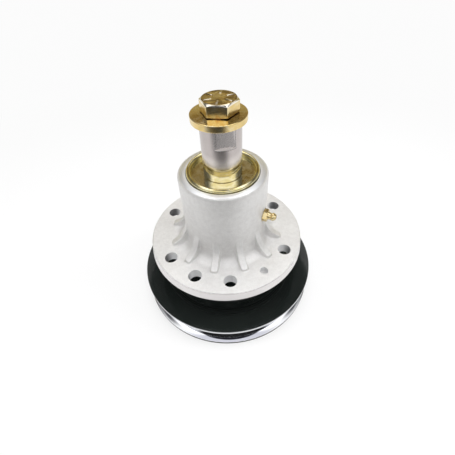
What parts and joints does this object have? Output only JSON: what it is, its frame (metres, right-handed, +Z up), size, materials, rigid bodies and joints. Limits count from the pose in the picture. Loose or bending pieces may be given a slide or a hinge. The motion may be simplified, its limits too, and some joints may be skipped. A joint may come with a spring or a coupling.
{
  "type": "mower deck spindle",
  "caption": "Mower deck spindle: a ribbed, flanged cast housing with a shaft on sealed ball bearings, a V-belt pulley at one end and a blade bolt and washer at the other.",
  "frame": {"origin": "middle of the circle that the pulley's lower rim stands on", "axes": "+Z up the shaft from the pulley to the blade bolt; +X to the right as the picture shows it, half way between two gussets"},
  "size_m": [0.165, 0.165, 0.1865],
  "materials": {
    "cast_aluminium": "blasted casting",
    "yellow_zinc": "yellow zinc plated",
    "ground_steel": "ground and polished",
    "black_paint": "gloss paint, bare groove",
    "bearing_steel": "ground",
    "plain_steel": "clear zinc plated",
    "seal_rubber": "matt",
    "cage_polymer": "moulded"
  },
  "bodies": {
    "housing": {"spindle_housing": "cast_aluminium", "grease_fitting": "yellow_zinc", "grease_valve_spring": "bearing_steel", "blade_end_outer_ring": "bearing_steel", "blade_end_seal": "seal_rubber", "pulley_end_outer_ring": "bearing_steel", "pulley_end_seal": "seal_rubber"},
    "rotor": {"spindle_shaft": "ground_steel", "blade_bolt": "yellow_zinc", "blade_washer": "yellow_zinc", "bearing_spacer": "plain_steel", "pulley_spacer": "plain_steel", "pulley": "black_paint", "pulley_key": "plain_steel", "pulley_washer": "plain_steel", "pulley_nut": "plain_steel", "blade_end_inner_ring": "bearing_steel", "blade_end_shield": "yellow_zinc", "pulley_end_inner_ring": "bearing_steel", "pulley_end_shield": "yellow_zinc"},
    "blade_end_ball_train": {"blade_end_balls": "bearing_steel", "blade_end_cage": "cage_polymer"},
    "pulley_end_ball_train": {"pulley_end_balls": "bearing_steel", "pulley_end_cage": "cage_polymer"},
    "grease_valve": {"grease_check_ball": "bearing_steel"}
  },
  "joints": [
    {"name": "spindle_spin", "type": "hinge", "parent": "housing", "child": "rotor", "pos_m": [0, 0, 0.0896], "axis": [0, 0, 1], "continuous": true},
    {"name": "blade_end_cage_spin", "type": "hinge", "parent": "housing", "child": "blade_end_ball_train", "pos_m": [0, 0, 0.12], "axis": [0, 0, 1], "continuous": true},
    {"name": "pulley_end_cage_spin", "type": "hinge", "parent": "housing", "child": "pulley_end_ball_train", "pos_m": [0, 0, 0.0592], "axis": [0, 0, 1], "continuous": true},
    {"name": "grease_valve_slide", "type": "slide", "parent": "housing", "child": "grease_valve", "axis": [-0.8965, 0.4431, 0], "range_m": [0, 0.0008], "stiffness_N_per_m": 300, "springref_m": -0.0015, "deforming": ["grease_valve_spring"]}
  ],
  "couplings": [
    {"joint": "blade_end_cage_spin", "follows": "spindle_spin", "ratio": 0.39688},
    {"joint": "pulley_end_cage_spin", "follows": "spindle_spin", "ratio": 0.39688}
  ]
}
